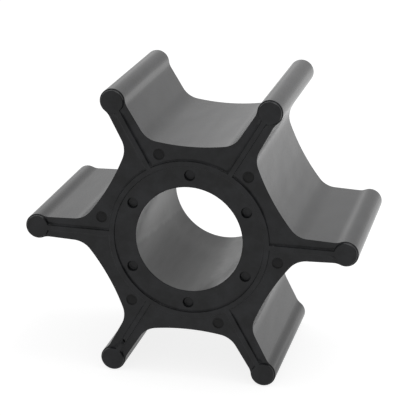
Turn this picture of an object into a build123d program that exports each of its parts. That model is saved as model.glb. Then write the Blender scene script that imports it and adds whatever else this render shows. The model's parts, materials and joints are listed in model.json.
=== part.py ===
from build123d import *
import math
import os

os.makedirs("parts", exist_ok=True)

# Rubber pump impeller, moulded in one piece. All sizes are in millimetres.
# The bore runs along Y, the vanes stand out radially in the XZ plane, and one vane points along +X.
# The origin is the centre of the bore at mid width. The near end faces -Y and the far end faces +Y.

# Whole impeller
vane_count = 6
tip_diameter = 66.2
width = 35.0

# Bore, straight from the near end and then opening a little towards the far end
bore_diameter = 21.2
bore_flare = 0.6
bore_flare_length = 12.0

# Hub, with a shallow hollow floor in each channel between two vanes
channel_floor_radius = 18.7
channel_hollow_radius = 43.4

# Vanes, thinner towards the tip, each ending in a round sealing bulb
vane_root_thickness = 4.8
vane_neck_thickness = 3.9
bulb_diameter = 5.0
root_fillet = 4.4
neck_fillet = 3.0

# Small bevel where the flanks meet both end faces
edge_break = 0.2

# Raised sealing relief on both end faces: a ring, a rib along each vane and a pad on each bulb.
# On the far end the hub stands at the height of the ring, from the ring in to the bore.
relief_height = 0.5
ring_diameter = 30.8
ring_width = 1.05
rib_width = 1.0
pad_margin = 0.25

# Blind pin holes in the near end, midway between the vanes, with a wall of rubber between them and the bore
pin_hole_diameter = 2.1
pin_hole_depth = 0.8
pin_hole_wall = 1.35

# Shallow round ejector marks in the near end, a little to one side of each vane
mark_diameter = 2.2
mark_depth = 0.12
mark_inset = 0.9
mark_turn = -10.0

# Places that follow from the sizes above
tip_radius = tip_diameter / 2
bore_radius = bore_diameter / 2
bulb_radius = bulb_diameter / 2
bulb_centre_radius = tip_radius - bulb_radius
pin_hole_radius = pin_hole_diameter / 2
pin_circle_radius = bore_radius + pin_hole_wall + pin_hole_radius
mark_circle_radius = channel_floor_radius - mark_inset
face_distance = width / 2 - relief_height
vane_pitch = 360 / vane_count
near_end = Plane.XZ
far_end = -Plane.XZ


def around_axis(shape, start=0.0):
    """One copy of a sketch for each vane, evenly spaced about the axis."""
    turns = [start + k * vane_pitch for k in range(vane_count)]
    return Sketch() + [Rot(0, 0, turn) * shape for turn in turns]


def radius_of(vertex):
    """Distance of a sketch point from the axis."""
    return math.hypot(vertex.X, vertex.Y)


def hub_outline():
    """Disc hollowed by one large circle for each channel, so that its points run out along the vanes."""
    hollow_centre = channel_floor_radius + channel_hollow_radius
    hollow = Pos(hollow_centre, 0) * Circle(channel_hollow_radius)
    return Circle(tip_radius) - around_axis(hollow, vane_pitch / 2)


def vane_blade():
    """Tapered blade along +X, from inside the hub to the centre of its bulb."""
    root_half = vane_root_thickness / 2
    neck_half = vane_neck_thickness / 2
    taper = (root_half - neck_half) / (bulb_centre_radius - channel_floor_radius)
    start_radius = (bore_radius + channel_floor_radius) / 2
    start_half = root_half + taper * (channel_floor_radius - start_radius)
    corners = [
        (start_radius, -start_half),
        (bulb_centre_radius, -neck_half),
        (bulb_centre_radius, neck_half),
        (start_radius, start_half),
    ]
    return make_face(Polyline(corners, close=True))


def impeller_outline():
    """Hub, blades and bulbs as one outline, with its inner corners filleted."""
    bladed_hub = hub_outline() + around_axis(vane_blade())
    root_corners = [v for v in bladed_hub.vertices() if radius_of(v) < bulb_centre_radius - bulb_radius]
    bladed_hub = fillet(root_corners, root_fillet)
    bulb = Pos(bulb_centre_radius, 0) * Circle(bulb_radius)
    outline = bladed_hub + around_axis(bulb)
    bulb_low = bulb_centre_radius - bulb_radius
    neck_corners = [v for v in outline.vertices() if bulb_low < radius_of(v) < bulb_centre_radius]
    return fillet(neck_corners, neck_fillet)


def moulded_body():
    """The outline carried across the width, with both end edges broken by a small bevel."""
    body = extrude(Plane.XZ * impeller_outline(), amount=face_distance, both=True)
    end_edges = body.faces().filter_by(Axis.Y).edges()
    return chamfer(end_edges, edge_break)


def sealing_relief(end, inner_radius):
    """Ring, ribs and pads standing on one end face. The ring reaches in to the inner radius."""
    ring_radius = ring_diameter / 2
    ring = Circle(ring_radius + ring_width / 2) - Circle(inner_radius)
    rib_length = bulb_centre_radius - ring_radius
    rib = Pos(ring_radius + rib_length / 2, 0) * Rectangle(rib_length, rib_width)
    pad = Pos(bulb_centre_radius, 0) * Circle(bulb_radius - pad_margin)
    relief = ring + around_axis(rib) + around_axis(pad)
    return extrude(end.offset(face_distance) * relief, amount=relief_height)


def bore():
    """Straight hole with a slight cone over its far stretch."""
    straight = extrude(Plane.XZ * Circle(bore_radius), amount=width / 2, both=True)
    cone = Cone(bore_radius, bore_radius + bore_flare, bore_flare_length)
    cone_centre = width / 2 - bore_flare_length / 2
    return straight + far_end.offset(cone_centre) * cone


def pin_holes():
    """Blind holes sunk into the near end around the bore."""
    hole = Pos(pin_circle_radius, 0) * Circle(pin_hole_radius)
    holes = around_axis(hole, vane_pitch / 2)
    return extrude(near_end.offset(face_distance) * holes, amount=-pin_hole_depth)


def ejector_marks():
    """Round marks pressed lightly into the near end beside the vanes."""
    mark = Pos(mark_circle_radius, 0) * Circle(mark_diameter / 2)
    marks = around_axis(mark, mark_turn)
    return extrude(near_end.offset(face_distance) * marks, amount=-mark_depth)


def impeller():
    """The whole moulding."""
    ring_inside = ring_diameter / 2 - ring_width / 2
    body = moulded_body() + sealing_relief(near_end, ring_inside) + sealing_relief(far_end, bore_radius)
    return body - bore() - pin_holes() - ejector_marks()


export_step(impeller(), "parts/impeller.step")
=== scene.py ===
import json
import math

import bmesh
import bpy
from mathutils import Matrix, Vector


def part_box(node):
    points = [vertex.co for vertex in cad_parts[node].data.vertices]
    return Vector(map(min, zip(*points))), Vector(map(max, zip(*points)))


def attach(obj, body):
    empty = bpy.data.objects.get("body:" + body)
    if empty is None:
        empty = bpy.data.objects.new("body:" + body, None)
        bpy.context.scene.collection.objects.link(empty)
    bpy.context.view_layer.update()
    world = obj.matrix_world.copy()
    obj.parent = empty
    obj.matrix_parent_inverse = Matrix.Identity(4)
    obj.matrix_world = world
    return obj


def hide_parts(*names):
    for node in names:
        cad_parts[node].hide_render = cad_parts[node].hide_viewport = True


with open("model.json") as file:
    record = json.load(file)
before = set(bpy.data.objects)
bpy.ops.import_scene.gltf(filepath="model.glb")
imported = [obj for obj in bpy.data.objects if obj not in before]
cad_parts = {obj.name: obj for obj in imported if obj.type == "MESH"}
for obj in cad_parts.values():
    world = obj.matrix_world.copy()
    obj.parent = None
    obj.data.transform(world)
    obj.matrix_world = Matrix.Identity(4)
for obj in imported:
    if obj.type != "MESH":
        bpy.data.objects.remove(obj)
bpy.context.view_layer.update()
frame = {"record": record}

# Impeller: one moulding of black nitrile rubber, pressed and cured in a steel mould.
# Hub, vanes and sealing bulbs are one piece, and a low raised seal stands on both end faces.
# The mesh is one sixth of it, with one vane along +X, and a node tree turns it round the bore.
mm = 0.001
low_corner, high_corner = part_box("impeller")
bore_mount = next(mount for mount in frame["record"]["mounts"] if mount["name"] == "bore")
vane_count = 6
tip_radius = high_corner.x
half_width = high_corner.y

bore_radius = bore_mount["dims"]["r_mm"] * mm
bore_straight_end = bore_mount["pos_m"][1] + bore_mount["dims"]["length_mm"] * mm / 2
bore_flare = 0.6 * mm

floor_radius = 18.7 * mm
hollow_radius = 43.4 * mm
root_half = 2.4 * mm
neck_half = 1.95 * mm
bulb_radius = 2.5 * mm
bulb_centre_radius = tip_radius - bulb_radius
root_fillet = 4.4 * mm
neck_fillet = 3.0 * mm

relief_height = 0.5 * mm
face_distance = half_width - relief_height
ring_radius = 15.4 * mm
ring_half_width = 0.525 * mm
rib_half_width = 0.5 * mm
pad_radius = bulb_radius - 0.25 * mm
pad_edge_share = 0.3
pad_draft = 0.3
wall_edge_share = 0.4
ring_foot_share = 1.6
rib_foot_share = 2.3

pin_hole_radius = 1.05 * mm
pin_hole_depth = 0.8 * mm
pin_circle_radius = bore_radius + 1.35 * mm + pin_hole_radius
mark_radius = 1.1 * mm
mark_depth = 0.12 * mm
mark_groove_width = 0.5 * mm
mark_groove_depth = 0.08 * mm
mark_groove_overlap = 0.1
mark_circle_radius = floor_radius - 0.9 * mm
mark_turn = math.radians(-10)

pitted_vane = 2
pit_place = Vector((25.8, 0)) * mm
pit_turn = math.radians(68)
pit_length = 0.8 * mm
pit_width = 0.4 * mm
pit_depth = 0.4 * mm

edge_round = 0.1 * mm
relief_edge_round = 0.18 * mm
relief_foot_round = 0.25 * mm
hole_round = 0.08 * mm
hole_foot_round = 0.35 * mm
support_gap = 0.03 * mm

# How dull the mould left each part of the surface. Above the bore's value it also paints the marks and the pit
# darker, as painted shade.
flank_dullness = 0.0
end_dullness = 0.4
pin_hole_dullness = 0.8
bore_dullness = 1.0
mark_dullness_and_shade = 1.4
pit_dullness_and_shade = 1.5

# How finely the curves are divided.
round_steps = 4
bulb_steps = 30
neck_steps = 6
blade_steps = 6
root_steps = 14
floor_step = math.radians(1.6)
floor_steps_under_vane = 8
pad_steps = 28
rib_steps = 10
ring_step = math.radians(1)
hole_steps = 40
mark_rows = 10
pit_steps = 20
pit_rows = 5
half_flank_rows = 6

half_pitch = math.pi / vane_count
near_cut = math.radians(22)
far_cut = 2 * half_pitch - near_cut
hollow_centre = Vector((math.cos(half_pitch), math.sin(half_pitch))) * (floor_radius + hollow_radius)
bulb_centre = Vector((bulb_centre_radius, 0))
blade_neck = Vector((bulb_centre_radius, neck_half))
blade_run = (Vector((floor_radius, root_half)) - blade_neck).normalized()
blade_normal = Vector((blade_run.y, -blade_run.x))


def arc(centre, radius, start, end, steps):
    """Points along a circle about centre, from the angle start to the angle end."""
    angles = [start + (end - start) * k / steps for k in range(steps + 1)]
    return [centre + Vector((math.cos(a), math.sin(a))) * radius for a in angles]


def short_arc(centre, radius, first, last, steps):
    """Points along a circle about centre, from the direction first to the direction last the short way."""
    start = math.atan2(first.y, first.x)
    turn = (math.atan2(last.y, last.x) - start + math.pi) % (2 * math.pi) - math.pi
    return arc(centre, radius, start, start + turn, steps)


def between(first, last, steps):
    """Points that divide a straight stretch, without its two ends."""
    return [first.lerp(last, k / steps) for k in range(1, steps)]


def fillet_centre(radius, centre, reach):
    """Centre of a fillet that touches the blade's side and lies at a distance reach from another centre."""
    start = blade_neck + blade_normal * radius
    offset = start - centre
    along = offset.dot(blade_run)
    return start + blade_run * (math.sqrt(along ** 2 - offset.length_squared + reach ** 2) - along)


def half_outline(inset, cut):
    """The outline from the tip of the bulb to a cut through the channel, moved into the rubber by inset."""
    neck = fillet_centre(neck_fillet, bulb_centre, bulb_radius + neck_fillet)
    root = fillet_centre(root_fillet, hollow_centre, hollow_radius - root_fillet)
    off_middle = cut - half_pitch
    reach = hollow_centre.length
    hub_radius = reach * math.cos(off_middle)
    hub_radius -= math.sqrt((hollow_radius + inset) ** 2 - (reach * math.sin(off_middle)) ** 2)
    cut_point = Vector((math.cos(cut), math.sin(cut))) * hub_radius
    bulb = short_arc(bulb_centre, bulb_radius - inset, Vector((1, 0)), neck - bulb_centre, bulb_steps)
    neck_arc = short_arc(neck, neck_fillet + inset, bulb_centre - neck, -blade_normal, neck_steps)
    root_arc = short_arc(root, root_fillet + inset, -blade_normal, root - hollow_centre, root_steps)
    side = between(neck_arc[-1], root_arc[0], blade_steps)
    floor_start, floor_end = root - hollow_centre, cut_point - hollow_centre
    floor_steps = round(cut / floor_step) - floor_steps_under_vane
    floor = short_arc(hollow_centre, hollow_radius + inset, floor_start, floor_end, floor_steps)
    return bulb + neck_arc[1:] + side + root_arc + floor[1:]


def wall_spread(grow, foot_share):
    """How far the side of the ring or a rib lies outwards, where its foot spreads wider than its edge."""
    return grow * (wall_edge_share if grow < 0 else foot_share)


def half_relief(step, cut):
    """The outer edge of the raised seal from the tip of the pad to the cut, at one step of its wall.
    A step is (grow, height). The wall of a pad leans in towards its top and has no fillet at its foot."""
    grow, height = step
    pad = pad_radius + min(0, grow) * pad_edge_share + (relief_height / 2 - height) * pad_draft
    rib = rib_half_width + wall_spread(grow, rib_foot_share)
    ring = ring_radius + ring_half_width + wall_spread(grow, ring_foot_share)
    pad_arc = arc(bulb_centre, pad, 0, math.pi - math.asin(rib / pad), pad_steps)
    ring_arc = arc(Vector((0, 0)), ring, math.asin(rib / ring), cut, round(cut / ring_step))
    return pad_arc + between(pad_arc[-1], ring_arc[0], rib_steps) + ring_arc


def ring_inside(step):
    """The inner edge of the ring from cut to cut, at one step (grow, height) of its wall."""
    return sector_arc(ring_radius - ring_half_width - wall_spread(step[0], ring_foot_share))


def across_sector(half_line, amount):
    """A whole row for one sixth of the impeller, from the cut below the vane to the cut above it."""
    below = [Vector((p.x, -p.y)) for p in half_line(amount, near_cut)]
    return below[:0:-1] + half_line(amount, far_cut)


def sector_arc(radius):
    """A row on a circle about the bore, from cut to cut."""
    return arc(Vector((0, 0)), radius, -near_cut, far_cut, round(2 * half_pitch / ring_step))


def circle_at(distance, turn, radius):
    """A closed row on a small circle that lies at a distance from the axis."""
    centre = Vector((math.cos(turn), math.sin(turn))) * distance
    return arc(centre, radius, 0, 2 * math.pi, hole_steps)[:-1]


def pit_rim(scale):
    """A closed oval row about the pit in one rib, from the full size down to its bottom."""
    along = Vector((math.cos(pit_turn), math.sin(pit_turn))) * pit_length / 2
    across = Vector((-math.sin(pit_turn), math.cos(pit_turn))) * pit_width / 2
    turns = [2 * math.pi * k / pit_steps for k in range(pit_steps)]
    return [pit_place + (along * math.cos(a) + across * math.sin(a)) * scale for a in turns]


def round_section(radius):
    """(distance from the wall, depth below the face) over a rounded edge.
    A close row before and after it keeps the faces beside it flat."""
    turns = [math.pi / 2 * k / round_steps for k in range(round_steps + 1)]
    curve = [(radius * (1 - math.sin(a)), radius * (1 - math.cos(a))) for a in turns]
    return [(radius + support_gap, 0)] + curve + [(0, radius + support_gap)]


def step_section():
    """(distance outwards, height above the face) over the edge and the filleted foot of the raised seal."""
    edge = [(-inward, relief_height - depth) for inward, depth in round_section(relief_edge_round)]
    foot = [(outward, height) for outward, height in reversed(round_section(relief_foot_round))]
    return edge[:-1] + foot[1:]


def mark_section():
    """(radius, depth) over the rim of an ejector mark: a soft groove all round and a slightly sunk floor."""
    section = []
    for k in range(mark_rows + 1):
        t = k / mark_rows
        radius = mark_radius - mark_groove_width * (t - mark_groove_overlap)
        sink = mark_depth * t * t * (3 - 2 * t) + mark_groove_depth * math.sin(math.pi * t) ** 2
        section.append((radius, sink))
    return section


def add_row(shell, points, y):
    """One row of vertices at a place along the bore."""
    return [shell.verts.new((p.x, y, p.y)) for p in points]


def skin(shell, rows, closed=False, dullness=end_dullness):
    """Faces between neighbouring rows."""
    finish = shell.faces.layers.float["dullness"]
    for first, second in zip(rows, rows[1:]):
        count = len(first) if closed else len(first) - 1
        for k in range(count):
            after = (k + 1) % len(first)
            face = shell.faces.new((first[k], first[after], second[after], second[k]))
            face[finish] = dullness
    return rows


def fill_flat(shell, *loops, dullness=end_dullness):
    """Triangles over a flat stretch: the first loop is its border and the others are holes in it."""
    finish = shell.faces.layers.float["dullness"]
    edges = []
    for loop in loops:
        for start, end in zip(loop, loop[1:] + loop[:1]):
            edges.append(shell.edges.get((start, end)) or shell.edges.new((start, end)))
    made = bmesh.ops.triangle_fill(shell, use_beauty=True, use_dissolve=False, edges=edges, normal=(0, 1, 0))
    for face in made["geom"]:
        if isinstance(face, bmesh.types.BMFace):
            face[finish] = dullness


def sunk_round(shell, distance, turn, section, dullness):
    """A round recess in the near end: rows down its section, then a flat bottom. Returns its rim."""
    rows = []
    for radius, depth in section:
        rows.append(add_row(shell, circle_at(distance, turn, radius), depth - face_distance))
    skin(shell, rows, closed=True, dullness=dullness)
    fill_flat(shell, rows[-1], dullness=dullness)
    return rows[0]


def pit(shell):
    """A small pit where a bubble opened in the top of one rib. Returns its rim."""
    turns = [math.pi / 2 * k / pit_rows for k in range(pit_rows)]
    rows = [add_row(shell, pit_rim(math.cos(a)), pit_depth * math.sin(a) - half_width) for a in turns]
    # The pit's faces carry the darkest painted shade through their dullness value.
    skin(shell, rows, closed=True, dullness=pit_dullness_and_shade)
    fill_flat(shell, rows[-1], dullness=pit_dullness_and_shade)
    return rows[0]


def relief_steps(shell, half_line_at, side):
    """The wall of the raised seal, from its top down to the face. side is -1 at the near end, 1 at the far."""
    rows = [add_row(shell, half_line_at(step), side * (face_distance + step[1])) for step in step_section()]
    return skin(shell, rows)


def moulding_sector(pitted):
    """One vane with its share of the hub, from face to face."""
    shell = bmesh.new()
    shell.faces.layers.float.new("dullness")
    rounding = round_section(edge_round)
    flank_end = face_distance - edge_round - support_gap
    flank = [(0, flank_end * (k / half_flank_rows - 1)) for k in range(1, 2 * half_flank_rows)]
    near = [(inset, depth - face_distance) for inset, depth in rounding]
    far = [(inset, -y) for inset, y in reversed(near)]
    outline = [add_row(shell, across_sector(half_outline, inset), y) for inset, y in near + flank + far]
    skin(shell, outline, dullness=flank_dullness)

    flare_length = half_width - bore_straight_end
    hub_far = [(inset, half_width - depth) for inset, depth in reversed(rounding)]
    bore = []
    for inset, y in near + flank + hub_far:
        widening = bore_flare * max(0, y - bore_straight_end) / flare_length
        bore.append(add_row(shell, sector_arc(bore_radius + inset + widening), y))
    rim_rows = round_steps + 2
    skin(shell, bore[:rim_rows])
    skin(shell, bore[rim_rows - 1:1 - rim_rows], dullness=bore_dullness)
    skin(shell, bore[-rim_rows:])

    hole_edge = [(pin_hole_radius + inward, depth) for inward, depth in round_section(hole_round)]
    hole_foot = [(pin_hole_radius - inward, pin_hole_depth - depth)
                 for inward, depth in reversed(round_section(hole_foot_round))]
    pin_hole = sunk_round(shell, pin_circle_radius, half_pitch, hole_edge + hole_foot, pin_hole_dullness)
    # The mark's faces carry painted shade through their dullness value.
    mark = sunk_round(shell, mark_circle_radius, mark_turn, mark_section(), mark_dullness_and_shade)

    seal = relief_steps(shell, lambda step: across_sector(half_relief, step), -1)
    inner_wall = relief_steps(shell, ring_inside, -1)
    fill_flat(shell, outline[0] + seal[-1][::-1], mark)
    fill_flat(shell, seal[0] + inner_wall[0][::-1], *([pit(shell)] if pitted else []))
    fill_flat(shell, inner_wall[-1] + bore[0][::-1], pin_hole)
    far_seal = relief_steps(shell, lambda step: across_sector(half_relief, step), 1)
    fill_flat(shell, outline[-1] + far_seal[-1][::-1])
    fill_flat(shell, far_seal[0] + bore[-1][::-1])
    mesh = bpy.data.meshes.new("moulding_sector")
    shell.to_mesh(mesh)
    shell.free()
    return mesh


def add_node(tree, kind, inputs=None, **settings):
    """Adds a node. inputs gives each socket a value or the output that feeds it.
    A socket goes by its name, or by its number where the node has more than one of that name."""
    node = tree.nodes.new(kind)
    for name, value in settings.items():
        setattr(node, name, value)
    for name, value in (inputs or {}).items():
        if isinstance(value, bpy.types.NodeSocket):
            tree.links.new(value, node.inputs[name])
        else:
            node.inputs[name].default_value = value
    return node


def linear(hex_colour):
    """Linear RGBA of an sRGB hex colour."""
    channels = [int(hex_colour[k:k + 2], 16) / 255 for k in (1, 3, 5)]
    return [c / 12.92 if c <= 0.04045 else ((c + 0.055) / 1.055) ** 2.4 for c in channels] + [1]


def nitrile_rubber():
    """Moulded nitrile rubber: carbon black, satin on the vanes and duller on the ends.
    A faint bloom clouds it, and the cloud and grain are drawn coarser than life, so that they show.
    The ejector marks and the pit are painted near black, as painted shade."""
    cloud_width = 3 * mm
    wave_width = 4 * mm
    wave_height = 0.25 * mm
    grain_width = 0.35 * mm
    grain_height = 0.02 * mm
    satin, dullest = 0.2, 0.6
    unevenness = 0.14
    material = bpy.data.materials.new("black_nitrile_rubber_moulded")
    material.use_nodes = True
    tree = material.node_tree
    tree.nodes.clear()
    place = add_node(tree, "ShaderNodeTexCoord").outputs["Object"]
    finish = add_node(tree, "ShaderNodeAttribute", attribute_name="dullness").outputs["Fac"]
    bloom = add_node(tree, "ShaderNodeTexNoise", {
        "Vector": place,
        "Scale": 1 / cloud_width,
        "Detail": 5,
        "Roughness": 0.6,
    })
    drawn = add_node(tree, "ShaderNodeMapping", {"Vector": place, "Scale": (1, 0.25, 1)})
    wave = add_node(tree, "ShaderNodeTexNoise", {
        "Vector": drawn.outputs["Vector"],
        "Scale": 1 / wave_width,
        "Detail": 1,
    })
    grain = add_node(tree, "ShaderNodeTexNoise", {"Vector": place, "Scale": 1 / grain_width, "Detail": 2})
    cloud = add_node(tree, "ShaderNodeValToRGB", {"Fac": bloom.outputs["Fac"]})
    cloud.color_ramp.elements[0].position = 0.36
    cloud.color_ramp.elements[0].color = linear("#151618")
    cloud.color_ramp.elements[1].position = 0.66
    cloud.color_ramp.elements[1].color = linear("#2b2c2f")
    # Painted shade: the marks and the pit get a near black colour by their dullness value.
    painted_shade_share = add_node(tree, "ShaderNodeMapRange", {
        "Value": finish,
        "From Min": bore_dullness,
        "From Max": pit_dullness_and_shade,
    })
    colour = add_node(tree, "ShaderNodeMix", {
        "Factor": painted_shade_share.outputs["Result"],
        6: cloud.outputs["Color"],
        7: linear("#0b0b0c"),
    }, data_type="RGBA")
    dull = add_node(tree, "ShaderNodeMapRange", {
        "Value": finish,
        "From Max": pit_dullness_and_shade,
        "To Min": satin,
        "To Max": dullest,
    })
    uneven = add_node(tree, "ShaderNodeMath", {
        0: bloom.outputs["Fac"],
        1: unevenness,
        2: -unevenness / 2,
    }, operation="MULTIPLY_ADD")
    rough = add_node(tree, "ShaderNodeMath", {0: dull.outputs["Result"], 1: uneven.outputs[0]}, operation="ADD")
    swell = add_node(tree, "ShaderNodeBump", {
        "Height": wave.outputs["Fac"],
        "Strength": 0.5,
        "Distance": wave_height,
    })
    bump = add_node(tree, "ShaderNodeBump", {
        "Height": grain.outputs["Fac"],
        "Strength": 0.15,
        "Distance": grain_height,
        "Normal": swell.outputs["Normal"],
    })
    shader = add_node(tree, "ShaderNodeBsdfPrincipled", {
        "Base Color": colour.outputs[2],
        "Roughness": rough.outputs[0],
        "Normal": bump.outputs["Normal"],
        "IOR": 1.48,
    })
    add_node(tree, "ShaderNodeOutputMaterial", {"Surface": shader.outputs["BSDF"]})
    return material


def painted_light_bore_rubber():
    """The same rubber in the bore, with a white sheen, glossier near the near end and rougher towards the far
    end.
    Its base colour is painted grey as painted light and painted reflection: lightest near the near end and on
    the upper left and the right, up to a ragged edge, and darker towards the far end and the lower left.
    The core pin drew long streaks in it, here wider than life."""
    painted_light_full, painted_light_gone = -6 * mm, 34 * mm
    streak_width = 2 * mm
    streak_height = 0.03 * mm
    streak_strength, streak_base = 0.16, -0.07
    rag_width = 2.5 * mm
    rag_depth = 1.5 * mm
    edge_slant = 0.1
    painted_light_least = 0.14
    left_painted_low, left_painted_high = 0.4, 0.84
    near_roughness, far_roughness = 0.285, 0.6
    material = bpy.data.materials.new("black_nitrile_rubber_bore_painted_light")
    material.use_nodes = True
    tree = material.node_tree
    tree.nodes.clear()
    place = add_node(tree, "ShaderNodeTexCoord").outputs["Object"]
    spot = add_node(tree, "ShaderNodeSeparateXYZ", {"Vector": place}).outputs
    drawn = add_node(tree, "ShaderNodeMapping", {"Vector": place, "Scale": (1, 0.15, 1)})
    drag = add_node(tree, "ShaderNodeTexNoise", {
        "Vector": drawn.outputs["Vector"],
        "Scale": 1 / streak_width,
        "Detail": 3,
    })
    streak = add_node(tree, "ShaderNodeMath", {
        0: drag.outputs["Fac"],
        1: streak_strength,
        2: streak_base,
    }, operation="MULTIPLY_ADD")
    # Painted light: the base colour is painted lightest near the near end and fades towards the far end.
    near = add_node(tree, "ShaderNodeMapRange", {
        "Value": spot["Y"],
        "From Min": painted_light_gone,
        "From Max": painted_light_full,
    }, interpolation_type="SMOOTHSTEP")
    ragged = add_node(tree, "ShaderNodeTexNoise", {"Vector": place, "Scale": 1 / rag_width, "Detail": 2})
    slant = add_node(tree, "ShaderNodeMath", {
        0: spot["Y"],
        1: edge_slant,
        2: -rag_depth / 2,
    }, operation="MULTIPLY_ADD")
    edge = add_node(tree, "ShaderNodeMath", {
        0: ragged.outputs["Fac"],
        1: rag_depth,
        2: slant.outputs[0],
    }, operation="MULTIPLY_ADD")
    left_edge = add_node(tree, "ShaderNodeMath", {0: spot["Z"], 1: edge.outputs[0]}, operation="ADD")
    # Painted reflection: the upper left and the right side are painted lighter, up to a ragged edge, and the
    # lower left stays darker.
    left_slope = add_node(tree, "ShaderNodeMapRange", {
        "Value": left_edge.outputs[0],
        "From Min": -2.5 * mm,
        "From Max": 0.7 * mm,
        "To Min": left_painted_low,
        "To Max": left_painted_high,
    })
    left = add_node(tree, "ShaderNodeMapRange", {
        "Value": left_edge.outputs[0],
        "From Min": -4.2 * mm,
        "From Max": -3.2 * mm,
        "To Min": painted_light_least,
        "To Max": left_slope.outputs["Result"],
    }, interpolation_type="SMOOTHSTEP")
    right_edge = add_node(tree, "ShaderNodeMath", {0: spot["X"], 1: edge.outputs[0]}, operation="ADD")
    right = add_node(tree, "ShaderNodeMapRange", {
        "Value": right_edge.outputs[0],
        "From Min": 1.5 * mm,
        "From Max": 4.9 * mm,
        "To Min": painted_light_least,
    }, interpolation_type="SMOOTHSTEP")
    painted_light_sides = add_node(tree, "ShaderNodeMath", {
        0: left.outputs["Result"],
        1: right.outputs["Result"],
    }, operation="MAXIMUM")
    painted_light_and_streaks = add_node(tree, "ShaderNodeMath", {
        0: near.outputs["Result"],
        1: painted_light_sides.outputs[0],
        2: streak.outputs[0],
    }, operation="MULTIPLY_ADD", use_clamp=True)
    # Painted light and painted reflection grey the base colour here, and the streaks add random tone.
    colour = add_node(tree, "ShaderNodeMix", {
        "Factor": painted_light_and_streaks.outputs[0],
        6: linear("#101011"),
        7: linear("#cfd0d0"),
    }, data_type="RGBA")
    rough = add_node(tree, "ShaderNodeMapRange", {
        "Value": near.outputs["Result"],
        "To Min": far_roughness,
        "To Max": near_roughness,
    })
    bump = add_node(tree, "ShaderNodeBump", {
        "Height": drag.outputs["Fac"],
        "Strength": 0.3,
        "Distance": streak_height,
    })
    shader = add_node(tree, "ShaderNodeBsdfPrincipled", {
        "Base Color": colour.outputs[2],
        "Roughness": rough.outputs["Result"],
        "Normal": bump.outputs["Normal"],
        "IOR": 1.33,
        "Sheen Weight": 1.0,
        "Sheen Roughness": 0.3,
    })
    add_node(tree, "ShaderNodeOutputMaterial", {"Surface": shader.outputs["BSDF"]})
    return material


def moulding_tree():
    """Turns the sector round the bore once for each vane, one of them the pitted one, and welds the seams."""
    tree = bpy.data.node_groups.new("turned_moulding", "GeometryNodeTree")
    sockets = {
        "Sector": "Geometry",
        "Pitted Sector": "Object",
        "Pitted Vane": "Int",
        "Vane Count": "Int",
        "Weld Distance": "Float",
        "Rubber": "Material",
        "Bore Rubber": "Material",
    }
    for name, kind in sockets.items():
        tree.interface.new_socket(name, in_out="INPUT", socket_type="NodeSocket" + kind)
    tree.interface.new_socket("Moulding", in_out="OUTPUT", socket_type="NodeSocketGeometry")
    given = add_node(tree, "NodeGroupInput").outputs
    pitted = add_node(tree, "GeometryNodeObjectInfo", {"Object": given["Pitted Sector"]})
    plain = add_node(tree, "GeometryNodeGeometryToInstance", {"Geometry": given["Sector"]})
    spoilt = add_node(tree, "GeometryNodeGeometryToInstance", {"Geometry": pitted.outputs["Geometry"]})
    sectors = add_node(tree, "GeometryNodeJoinGeometry")
    for one in (spoilt, plain):
        tree.links.new(one.outputs[0], sectors.inputs[0])
    points = add_node(tree, "GeometryNodePoints", {"Count": given["Vane Count"]})
    index = add_node(tree, "GeometryNodeInputIndex").outputs["Index"]
    is_pitted = add_node(tree, "FunctionNodeCompare", {
        2: index,
        3: given["Pitted Vane"],
    }, data_type="INT", operation="EQUAL")
    step = add_node(tree, "ShaderNodeMath", {0: 2 * math.pi, 1: given["Vane Count"]}, operation="DIVIDE")
    angle = add_node(tree, "ShaderNodeMath", {0: index, 1: step.outputs[0]}, operation="MULTIPLY")
    turn = add_node(tree, "ShaderNodeCombineXYZ", {"Y": angle.outputs[0]})
    copies = add_node(tree, "GeometryNodeInstanceOnPoints", {
        "Points": points.outputs[0],
        "Instance": sectors.outputs[0],
        "Pick Instance": True,
        "Instance Index": is_pitted.outputs[0],
        "Rotation": turn.outputs[0],
    })
    solid = add_node(tree, "GeometryNodeRealizeInstances", {"Geometry": copies.outputs[0]})
    welded = add_node(tree, "GeometryNodeMergeByDistance", {
        "Geometry": solid.outputs[0],
        "Distance": given["Weld Distance"],
    })
    smooth = add_node(tree, "GeometryNodeSetShadeSmooth", {"Geometry": welded.outputs[0]})
    moulded = add_node(tree, "GeometryNodeSetMaterial", {
        "Geometry": smooth.outputs[0],
        "Material": given["Rubber"],
    })
    dullness = add_node(tree, "GeometryNodeInputNamedAttribute", {"Name": "dullness"}, data_type="FLOAT")
    in_bore = add_node(tree, "FunctionNodeCompare", {
        0: dullness.outputs[0],
        1: bore_dullness,
        "Epsilon": 0.1,
    }, operation="EQUAL")
    bore_with_painted_light = add_node(tree, "GeometryNodeSetMaterial", {
        "Geometry": moulded.outputs[0],
        "Selection": in_bore.outputs[0],
        "Material": given["Bore Rubber"],
    })
    add_node(tree, "NodeGroupOutput", {"Moulding": bore_with_painted_light.outputs[0]})
    return tree


def grow_mesh(piece, tree, values):
    """Runs a node tree on a piece and keeps the result as its plain mesh."""
    modifier = piece.modifiers.new(tree.name, "NODES")
    modifier.node_group = tree
    for item in tree.interface.items_tree:
        if item.name in values:
            modifier[item.identifier] = values[item.name]
    evaluated = piece.evaluated_get(bpy.context.evaluated_depsgraph_get())
    piece.data = bpy.data.meshes.new_from_object(evaluated)
    piece.modifiers.remove(modifier)


def face_outwards(mesh):
    """Turns every face of a closed mesh outwards."""
    shell = bmesh.new()
    shell.from_mesh(mesh)
    bmesh.ops.recalc_face_normals(shell, faces=shell.faces)
    shell.to_mesh(mesh)
    shell.free()


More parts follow.
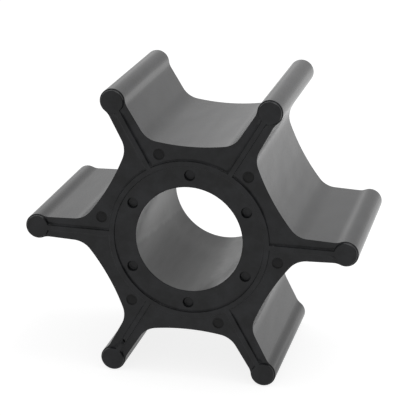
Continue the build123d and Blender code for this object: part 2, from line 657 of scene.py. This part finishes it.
impeller = bpy.data.objects.new("rubber_impeller", moulding_sector(pitted=False))
bpy.context.scene.collection.objects.link(impeller)
pitted_sector = bpy.data.objects.new("pitted_sector", moulding_sector(pitted=True))
grow_mesh(impeller, moulding_tree(), {
    "Pitted Sector": pitted_sector,
    "Pitted Vane": pitted_vane,
    "Vane Count": vane_count,
    "Weld Distance": 0.002 * mm,
    "Rubber": nitrile_rubber(),
    "Bore Rubber": painted_light_bore_rubber(),
})
bpy.data.objects.remove(pitted_sector)
face_outwards(impeller.data)
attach(impeller, "root")
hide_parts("impeller")

# Floor: a plain white studio table that the impeller stands on, on its two lower vanes.
# Its own white is added only where the camera or a gloss sees it, so it keeps the soft shadow.
floor_reach = 3.0
floor_corners = [(-1, -1), (1, -1), (1, 1), (-1, 1)]
paper_level = 0.84
near_gloss, behind_gloss, far_gloss, left_gloss = 0.36, 0.74, 0.88, 0.6

floor_mesh = bpy.data.meshes.new("studio_floor")
floor_points = [(x * floor_reach, y * floor_reach, low_corner.z) for x, y in floor_corners]
floor_mesh.from_pydata(floor_points, [], [(0, 1, 2, 3)])
studio_floor = bpy.data.objects.new("studio_floor", floor_mesh)
bpy.context.scene.collection.objects.link(studio_floor)

paper = bpy.data.materials.new("matt_white_paper")
paper.use_nodes = True
paper_tree = paper.node_tree
paper_tree.nodes.clear()
paper_path = add_node(paper_tree, "ShaderNodeLightPath").outputs
paper_object = add_node(paper_tree, "ShaderNodeTexCoord").outputs["Object"]
paper_place = add_node(paper_tree, "ShaderNodeSeparateXYZ", {"Vector": paper_object}).outputs
paper_far = add_node(paper_tree, "ShaderNodeMapRange", {
    "Value": paper_place["Y"],
    "From Min": 0.15,
    "From Max": 0.5,
    "To Min": behind_gloss,
    "To Max": far_gloss,
}, interpolation_type="SMOOTHSTEP")
paper_back = add_node(paper_tree, "ShaderNodeMapRange", {
    "Value": paper_place["X"],
    "From Min": -0.01,
    "From Max": -0.07,
    "To Min": paper_far.outputs["Result"],
    "To Max": left_gloss,
}, interpolation_type="SMOOTHSTEP")
paper_gloss = add_node(paper_tree, "ShaderNodeMapRange", {
    "Value": paper_place["Y"],
    "From Min": -0.03,
    "From Max": 0.05,
    "To Min": near_gloss,
    "To Max": paper_back.outputs["Result"],
}, interpolation_type="SMOOTHSTEP")
paper_seen = add_node(paper_tree, "ShaderNodeMath", {
    0: paper_path["Is Glossy Ray"],
    1: paper_gloss.outputs["Result"],
}, operation="MULTIPLY")
paper_glow = add_node(paper_tree, "ShaderNodeMath", {
    0: paper_path["Is Camera Ray"],
    1: paper_level,
    2: paper_seen.outputs[0],
}, operation="MULTIPLY_ADD")
paper_diffuse = add_node(paper_tree, "ShaderNodeBsdfDiffuse", {"Color": linear("#a8a8a8")})
paper_light = add_node(paper_tree, "ShaderNodeEmission", {"Strength": paper_glow.outputs[0]})
paper_sum = add_node(paper_tree, "ShaderNodeAddShader", {0: paper_diffuse.outputs[0], 1: paper_light.outputs[0]})
add_node(paper_tree, "ShaderNodeOutputMaterial", {"Surface": paper_sum.outputs[0]})
floor_mesh.materials.append(paper)

# Studio light: a white backdrop behind the impeller, a dimmer room behind the camera, and a large soft box.
# Camera rays see plain white all round, and only glosses see the difference between back and front.
ambient_level = 0.48
backdrop_level = 0.8
front_left_level, front_right_level = 0.36, 0.096
low_share, middle_share, high_share = 1.15, 1.03, 1.2
left_low_share, left_near_share, left_far_share = 0.46, 1.35, 1.12

world = bpy.data.worlds.new("white_studio")
bpy.context.scene.world = world
world.use_nodes = True
room_tree = world.node_tree
room_tree.nodes.clear()
room_path = add_node(room_tree, "ShaderNodeLightPath").outputs
room_way = add_node(room_tree, "ShaderNodeTexCoord").outputs["Generated"]
room_direction = add_node(room_tree, "ShaderNodeSeparateXYZ", {"Vector": room_way}).outputs
room_front = add_node(room_tree, "ShaderNodeMapRange", {
    "Value": room_direction["X"],
    "From Min": -0.9,
    "From Max": 0.7,
    "To Min": front_left_level,
    "To Max": front_right_level,
})
room_gloss = add_node(room_tree, "ShaderNodeMapRange", {
    "Value": room_direction["Y"],
    "From Min": -0.1,
    "From Max": 0.7,
    "To Min": room_front.outputs["Result"],
    "To Max": backdrop_level,
}, interpolation_type="SMOOTHSTEP")
room_high = add_node(room_tree, "ShaderNodeMapRange", {
    "Value": room_direction["Z"],
    "From Min": 0.3,
    "From Max": 0.5,
    "To Min": middle_share,
    "To Max": high_share,
}, interpolation_type="SMOOTHSTEP")
room_low = add_node(room_tree, "ShaderNodeMapRange", {
    "Value": room_direction["Z"],
    "From Max": 0.17,
    "To Min": low_share,
    "To Max": room_high.outputs["Result"],
}, interpolation_type="SMOOTHSTEP")
left_high = add_node(room_tree, "ShaderNodeMapRange", {
    "Value": room_direction["X"],
    "From Min": -0.25,
    "From Max": -0.42,
    "To Min": left_near_share,
    "To Max": left_far_share,
})
left_level = add_node(room_tree, "ShaderNodeMapRange", {
    "Value": room_direction["Z"],
    "From Min": 0.03,
    "From Max": 0.14,
    "To Min": left_low_share,
    "To Max": left_high.outputs["Result"],
}, interpolation_type="SMOOTHSTEP")
room_left = add_node(room_tree, "ShaderNodeMapRange", {
    "Value": room_direction["X"],
    "From Min": -0.1,
    "From Max": -0.45,
    "To Min": 1.0,
    "To Max": left_level.outputs["Result"],
}, interpolation_type="SMOOTHSTEP")
room_shape = add_node(room_tree, "ShaderNodeMath", {
    0: room_low.outputs["Result"],
    1: room_left.outputs["Result"],
}, operation="MULTIPLY")
room_panel = add_node(room_tree, "ShaderNodeMath", {
    0: room_gloss.outputs["Result"],
    1: room_shape.outputs[0],
}, operation="MULTIPLY")
room_lit = add_node(room_tree, "ShaderNodeMix", {
    "Factor": room_path["Is Glossy Ray"],
    "A": ambient_level,
    "B": room_panel.outputs[0],
})
room_level = add_node(room_tree, "ShaderNodeMix", {
    "Factor": room_path["Is Camera Ray"],
    "A": room_lit.outputs["Result"],
    "B": 1.0,
})
room = add_node(room_tree, "ShaderNodeBackground", {
    "Color": (1, 1, 1, 1),
    "Strength": room_level.outputs["Result"],
})
add_node(room_tree, "ShaderNodeOutputWorld", {"Surface": room.outputs["Background"]})

soft_box_place = Vector((0.35, 0.1, 0.9))
soft_box_light = bpy.data.lights.new("soft_box_above", "AREA")
soft_box_light.size = 0.6
soft_box_light.energy = 2
soft_box = bpy.data.objects.new("soft_box_above", soft_box_light)
soft_box.location = soft_box_place
soft_box.rotation_euler = (-soft_box_place).to_track_quat("-Z", "Y").to_euler()
soft_box.visible_camera = False
bpy.context.scene.collection.objects.link(soft_box)

# Camera: at the photograph's angle, with a long lens well away from the impeller.
# It is level to within a degree, and has no shift and no depth of field.
camera_place = Vector((69.302, -305.817, 105.939)) * mm
camera_aim = Vector((-0.207, 0.259, 0.891)) * mm
camera_roll = math.radians(0.894)
camera_data = bpy.data.cameras.new("photo_camera")
camera_data.lens = 141.15
camera_data.sensor_width = 36.0
camera = bpy.data.objects.new("photo_camera", camera_data)
bpy.context.scene.collection.objects.link(camera)
level_view = (camera_aim - camera_place).to_track_quat("-Z", "Y").to_matrix()
rolled_view = level_view @ Matrix.Rotation(camera_roll, 3, "Z")
camera.matrix_world = Matrix.Translation(camera_place) @ rolled_view.to_4x4()
bpy.context.scene.camera = camera
bpy.context.scene.view_settings.view_transform = "Standard"
